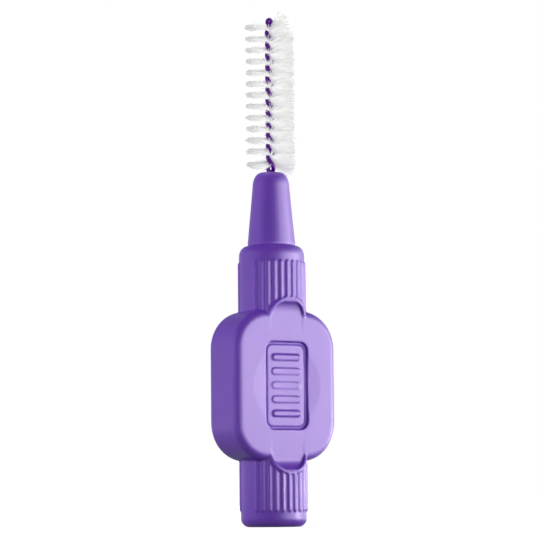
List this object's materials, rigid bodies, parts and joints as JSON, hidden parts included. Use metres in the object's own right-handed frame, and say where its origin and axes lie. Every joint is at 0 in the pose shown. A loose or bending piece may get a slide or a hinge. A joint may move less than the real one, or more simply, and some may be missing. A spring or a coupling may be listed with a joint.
{
  "type": "interdental brush",
  "caption": "Small twisted-wire brush with white filaments, moulded into a short purple handle with a flat finger paddle and ribbed round ends.",
  "frame": {"origin": "middle of the flat end of the tail, which is the foot that the brush stands on", "axes": "+Z along the brush, from the tail to the tip of the brush head; X across the width of the paddle; -Y out of the paddle's front face"},
  "size_m": [0.0118, 0.0066, 0.0501],
  "materials": {
    "handle_plastic": "moulded polypropylene, soft satin",
    "wire_steel": "drawn stainless steel",
    "coating_plastic": "smooth extruded plastic coating",
    "filament_nylon": "translucent white nylon filament"
  },
  "bodies": {
    "root": {"handle": "handle_plastic", "steel_wire": "wire_steel", "wire_coating": "coating_plastic", "bristles": "filament_nylon"}
  },
  "joints": []
}
